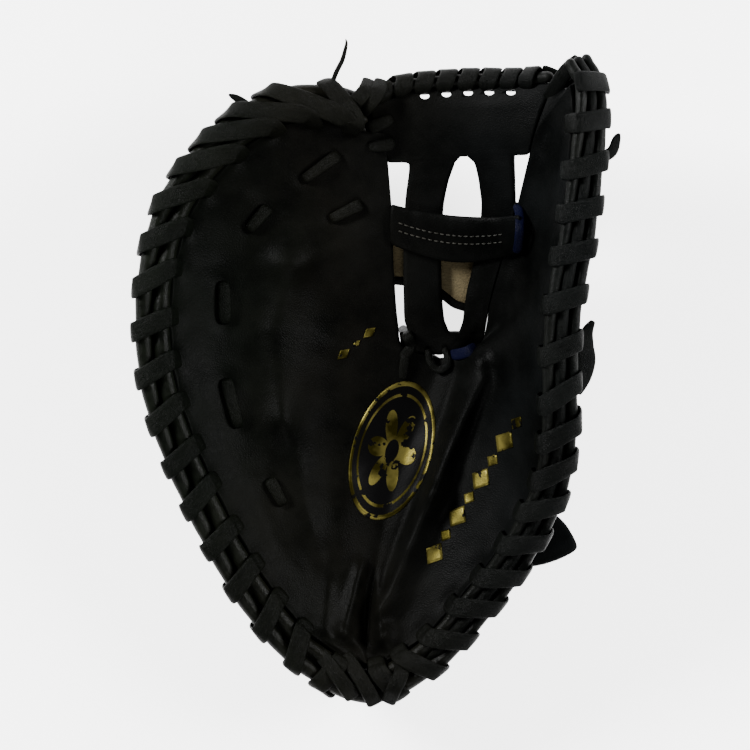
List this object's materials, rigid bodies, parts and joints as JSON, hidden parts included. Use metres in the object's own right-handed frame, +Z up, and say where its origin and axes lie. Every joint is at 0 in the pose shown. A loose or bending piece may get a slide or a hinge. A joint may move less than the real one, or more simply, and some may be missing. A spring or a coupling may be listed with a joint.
{
  "type": "first baseman mitt",
  "caption": "Leather baseball mitt with a hollow hand, a laced rolled rim and an open laced web over the pocket.",
  "frame": {"origin": "under the middle of the outline, on the plane that the back of the mitt rests on", "axes": "+Z up out of the pocket, +Y from the heel to the finger tips and the web, +X towards the thumb"},
  "size_m": [0.2448, 0.3356, 0.1208],
  "materials": {
    "leather": "smooth grained black leather, satin",
    "roll_leather": "rolled black welt leather, slightly shiny",
    "lace_leather": "dark rawhide lace, waxed",
    "flesh_side": "tan flesh side, matt with fine cracks"
  },
  "bodies": {
    "root": {"palm": "leather", "finger_back": "leather", "thumb_back": "leather", "palm_roll": "roll_leather", "back_roll": "roll_leather", "finger_rim_lace": "lace_leather", "thumb_rim_lace": "lace_leather", "web_panel": "leather", "web_top_roll": "roll_leather", "web_top_lace": "lace_leather", "web_crossbar": "leather", "web_back_bar": "flesh_side", "web_bar_binding": "leather", "palm_tie_1": "lace_leather", "palm_tie_2": "lace_leather", "palm_tie_3": "lace_leather", "palm_tie_4": "lace_leather", "palm_tie_5": "lace_leather", "palm_tie_6": "lace_leather", "web_tie_1": "lace_leather", "web_tie_2": "lace_leather", "web_tie_3": "lace_leather", "web_tie_4": "lace_leather", "web_tie_5": "lace_leather", "web_tie_6": "lace_leather", "web_tie_7": "lace_leather", "opening_binding": "roll_leather", "wrist_strap": "leather", "lace_end_1": "lace_leather", "lace_end_2": "lace_leather", "lace_end_3": "lace_leather", "lace_end_4": "lace_leather"}
  },
  "joints": []
}
